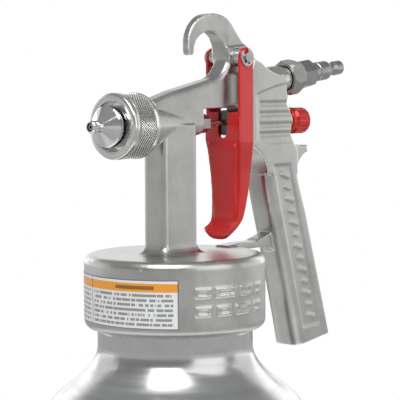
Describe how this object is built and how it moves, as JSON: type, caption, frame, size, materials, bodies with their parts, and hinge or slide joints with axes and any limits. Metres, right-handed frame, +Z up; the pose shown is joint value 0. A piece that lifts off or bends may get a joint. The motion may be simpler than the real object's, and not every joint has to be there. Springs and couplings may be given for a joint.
{
  "type": "siphon feed air spray gun with cup",
  "caption": "Cast spray gun with an integral cup lid, hanging hook, two-finger trigger, air valve and needle, over a wide aluminium paint cup.",
  "frame": {"origin": "centre of the cup's flat bottom, on the surface that it stands on", "axes": "+Z up along the cup's axis, +X the way the gun sprays, +Y to the gun's left, so the air inlet is towards -X"},
  "size_m": [0.2036, 0.134, 0.2464],
  "materials": {
    "spun_aluminium": "satin spun",
    "gasket": "matte",
    "cast_aluminium": "tumbled die casting",
    "label": "printed film",
    "tube_aluminium": "drawn",
    "nozzle_steel": "turned",
    "plated_chrome": "polished",
    "ring_nickel": "knurled plating",
    "fitting_steel": "plated",
    "packing": "smooth",
    "needle_steel": "ground",
    "red_paint": "gloss",
    "bushing_steel": "bright turned",
    "pin_steel": "turned",
    "clip_steel": "stamped",
    "dark_steel": "black oxide",
    "brass": "turned",
    "spring_steel": "drawn wire",
    "red_anodised": "anodised"
  },
  "bodies": {
    "cup": {"cup": "spun_aluminium"},
    "lid_seal": {"lid_gasket": "gasket"},
    "gun": {"gun_body": "cast_aluminium", "lid_label": "label", "pickup_tube": "tube_aluminium", "fluid_nozzle": "nozzle_steel", "packing_nut": "fitting_steel", "needle_packing": "packing", "pivot_bushing": "bushing_steel", "trigger_pin": "pin_steel", "pin_clip": "clip_steel", "air_valve_seat": "brass", "air_valve_spring": "spring_steel", "needle_spring": "spring_steel", "control_bushing": "brass", "inlet_nipple": "bushing_steel", "inlet_seal": "gasket", "inlet_plug": "fitting_steel"},
    "cap": {"air_cap": "plated_chrome"},
    "cap_ring": {"air_cap_ring": "ring_nickel"},
    "trigger": {"trigger": "red_paint"},
    "needle": {"needle": "needle_steel", "needle_collar": "fitting_steel"},
    "valve_sleeve": {"air_valve_sleeve": "dark_steel", "air_valve_seal": "packing"},
    "knob_seat": {"spring_seat": "spring_steel"},
    "knob": {"fluid_knob": "red_anodised"},
    "swivel_nut": {"swivel_nut": "fitting_steel"}
  },
  "joints": [
    {"name": "lid_rise", "type": "slide", "parent": "cup", "child": "lid_seal", "axis": [0, 0, 1], "range_m": [0, 0.0076]},
    {"name": "lid_turn", "type": "hinge", "parent": "lid_seal", "child": "gun", "pos_m": [0, 0, 0.11], "axis": [0, 0, 1], "range_deg": [0, 450]},
    {"name": "cap_travel", "type": "slide", "parent": "gun", "child": "cap", "axis": [1, 0, 0], "range_m": [0, 0.0025]},
    {"name": "ring_turn", "type": "hinge", "parent": "cap", "child": "cap_ring", "pos_m": [0.034, 0, 0.19], "axis": [-1, 0, 0], "range_deg": [0, 720]},
    {"name": "trigger_pull", "type": "hinge", "parent": "gun", "child": "trigger", "pos_m": [-0.0425, 0, 0.224], "axis": [0, 1, 0], "range_deg": [0, 10], "stiffness_Nm_per_rad": 2, "springref_deg": -14.32},
    {"name": "needle_slide", "type": "slide", "parent": "gun", "child": "needle", "axis": [-1, 0, 0], "range_m": [0, 0.0058], "deforming": ["needle_spring"]},
    {"name": "sleeve_slide", "type": "slide", "parent": "gun", "child": "valve_sleeve", "axis": [-1, 0, 0], "range_m": [0, 0.0073], "deforming": ["air_valve_spring"]},
    {"name": "knob_travel", "type": "slide", "parent": "gun", "child": "knob_seat", "axis": [-1, 0, 0], "range_m": [0, 0.003]},
    {"name": "knob_turn", "type": "hinge", "parent": "knob_seat", "child": "knob", "pos_m": [-0.095, 0, 0.19], "axis": [-1, 0, 0], "range_deg": [0, 1080]},
    {"name": "nut_spin", "type": "hinge", "parent": "gun", "child": "swivel_nut", "pos_m": [-0.09592, 0, 0.21416], "axis": [-0.992, 0, 0.1262], "continuous": true}
  ],
  "couplings": [
    {"joint": "lid_rise", "follows": "lid_turn", "m_per_rad": 0.00095493},
    {"joint": "cap_travel", "follows": "ring_turn", "m_per_rad": 0.00019099},
    {"joint": "needle_slide", "follows": "trigger_pull", "m_per_rad": 0.0326},
    {"joint": "sleeve_slide", "follows": "trigger_pull", "m_per_rad": 0.0412},
    {"joint": "knob_turn", "follows": "knob_travel", "rad_per_m": 6283.2}
  ]
}
